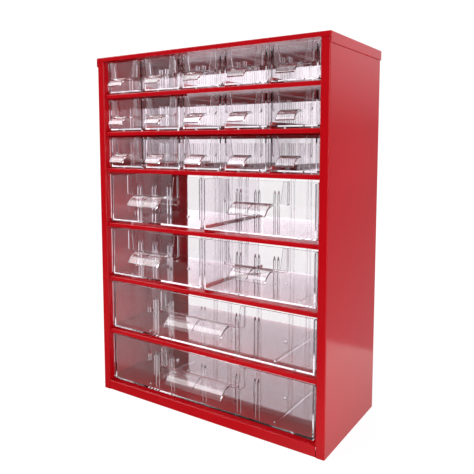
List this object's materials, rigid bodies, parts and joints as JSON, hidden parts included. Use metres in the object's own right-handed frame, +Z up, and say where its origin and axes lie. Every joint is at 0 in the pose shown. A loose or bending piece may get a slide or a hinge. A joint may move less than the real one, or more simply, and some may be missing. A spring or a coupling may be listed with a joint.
{
  "type": "parts organizer",
  "caption": "Upright sheet-steel cabinet with an open back and folded shelves, holding rows of clear pull-out drawers with label pockets and curved finger lips.",
  "frame": {"origin": "middle of the overall footprint, finger lips included, on the surface the cabinet stands on", "axes": "+Z up, +X to the right of someone facing the drawers, +Y towards the back (drawers open towards -Y)"},
  "size_m": [0.306, 0.155, 0.414],
  "materials": {
    "red_paint": "gloss powder coat",
    "clear_plastic": "clear moulded polystyrene"
  },
  "bodies": {
    "cabinet": {"side_panel_left": "red_paint", "side_panel_right": "red_paint", "top_lid": "red_paint", "base_shelf": "red_paint", "shelf_1": "red_paint", "shelf_2": "red_paint", "shelf_3": "red_paint", "shelf_4": "red_paint", "shelf_5": "red_paint", "shelf_6": "red_paint"},
    "small_drawer_r1c1": {"small_drawer_r1c1": "clear_plastic"},
    "small_drawer_r1c2": {"small_drawer_r1c2": "clear_plastic"},
    "small_drawer_r1c3": {"small_drawer_r1c3": "clear_plastic"},
    "small_drawer_r1c4": {"small_drawer_r1c4": "clear_plastic"},
    "small_drawer_r1c5": {"small_drawer_r1c5": "clear_plastic"},
    "small_drawer_r2c1": {"small_drawer_r2c1": "clear_plastic"},
    "small_drawer_r2c2": {"small_drawer_r2c2": "clear_plastic"},
    "small_drawer_r2c3": {"small_drawer_r2c3": "clear_plastic"},
    "small_drawer_r2c4": {"small_drawer_r2c4": "clear_plastic"},
    "small_drawer_r2c5": {"small_drawer_r2c5": "clear_plastic"},
    "small_drawer_r3c1": {"small_drawer_r3c1": "clear_plastic"},
    "small_drawer_r3c2": {"small_drawer_r3c2": "clear_plastic"},
    "small_drawer_r3c3": {"small_drawer_r3c3": "clear_plastic"},
    "small_drawer_r3c4": {"small_drawer_r3c4": "clear_plastic"},
    "small_drawer_r3c5": {"small_drawer_r3c5": "clear_plastic"},
    "medium_drawer_r4c1": {"medium_drawer_r4c1": "clear_plastic"},
    "medium_drawer_r4c2": {"medium_drawer_r4c2": "clear_plastic"},
    "medium_drawer_r5c1": {"medium_drawer_r5c1": "clear_plastic"},
    "medium_drawer_r5c2": {"medium_drawer_r5c2": "clear_plastic"},
    "large_drawer_r6c1": {"large_drawer_r6c1": "clear_plastic"},
    "large_drawer_r7c1": {"large_drawer_r7c1": "clear_plastic"}
  },
  "joints": [
    {"name": "small_drawer_r1c1_slide", "type": "slide", "parent": "cabinet", "child": "small_drawer_r1c1", "axis": [0, -1, 0], "range_m": [0, 0.12]},
    {"name": "small_drawer_r1c2_slide", "type": "slide", "parent": "cabinet", "child": "small_drawer_r1c2", "axis": [0, -1, 0], "range_m": [0, 0.12]},
    {"name": "small_drawer_r1c3_slide", "type": "slide", "parent": "cabinet", "child": "small_drawer_r1c3", "axis": [0, -1, 0], "range_m": [0, 0.12]},
    {"name": "small_drawer_r1c4_slide", "type": "slide", "parent": "cabinet", "child": "small_drawer_r1c4", "axis": [0, -1, 0], "range_m": [0, 0.12]},
    {"name": "small_drawer_r1c5_slide", "type": "slide", "parent": "cabinet", "child": "small_drawer_r1c5", "axis": [0, -1, 0], "range_m": [0, 0.12]},
    {"name": "small_drawer_r2c1_slide", "type": "slide", "parent": "cabinet", "child": "small_drawer_r2c1", "axis": [0, -1, 0], "range_m": [0, 0.12]},
    {"name": "small_drawer_r2c2_slide", "type": "slide", "parent": "cabinet", "child": "small_drawer_r2c2", "axis": [0, -1, 0], "range_m": [0, 0.12]},
    {"name": "small_drawer_r2c3_slide", "type": "slide", "parent": "cabinet", "child": "small_drawer_r2c3", "axis": [0, -1, 0], "range_m": [0, 0.12]},
    {"name": "small_drawer_r2c4_slide", "type": "slide", "parent": "cabinet", "child": "small_drawer_r2c4", "axis": [0, -1, 0], "range_m": [0, 0.12]},
    {"name": "small_drawer_r2c5_slide", "type": "slide", "parent": "cabinet", "child": "small_drawer_r2c5", "axis": [0, -1, 0], "range_m": [0, 0.12]},
    {"name": "small_drawer_r3c1_slide", "type": "slide", "parent": "cabinet", "child": "small_drawer_r3c1", "axis": [0, -1, 0], "range_m": [0, 0.12]},
    {"name": "small_drawer_r3c2_slide", "type": "slide", "parent": "cabinet", "child": "small_drawer_r3c2", "axis": [0, -1, 0], "range_m": [0, 0.12]},
    {"name": "small_drawer_r3c3_slide", "type": "slide", "parent": "cabinet", "child": "small_drawer_r3c3", "axis": [0, -1, 0], "range_m": [0, 0.12]},
    {"name": "small_drawer_r3c4_slide", "type": "slide", "parent": "cabinet", "child": "small_drawer_r3c4", "axis": [0, -1, 0], "range_m": [0, 0.12]},
    {"name": "small_drawer_r3c5_slide", "type": "slide", "parent": "cabinet", "child": "small_drawer_r3c5", "axis": [0, -1, 0], "range_m": [0, 0.12]},
    {"name": "medium_drawer_r4c1_slide", "type": "slide", "parent": "cabinet", "child": "medium_drawer_r4c1", "axis": [0, -1, 0], "range_m": [0, 0.12]},
    {"name": "medium_drawer_r4c2_slide", "type": "slide", "parent": "cabinet", "child": "medium_drawer_r4c2", "axis": [0, -1, 0], "range_m": [0, 0.12]},
    {"name": "medium_drawer_r5c1_slide", "type": "slide", "parent": "cabinet", "child": "medium_drawer_r5c1", "axis": [0, -1, 0], "range_m": [0, 0.12]},
    {"name": "medium_drawer_r5c2_slide", "type": "slide", "parent": "cabinet", "child": "medium_drawer_r5c2", "axis": [0, -1, 0], "range_m": [0, 0.12]},
    {"name": "large_drawer_r6c1_slide", "type": "slide", "parent": "cabinet", "child": "large_drawer_r6c1", "axis": [0, -1, 0], "range_m": [0, 0.12]},
    {"name": "large_drawer_r7c1_slide", "type": "slide", "parent": "cabinet", "child": "large_drawer_r7c1", "axis": [0, -1, 0], "range_m": [0, 0.12]}
  ]
}
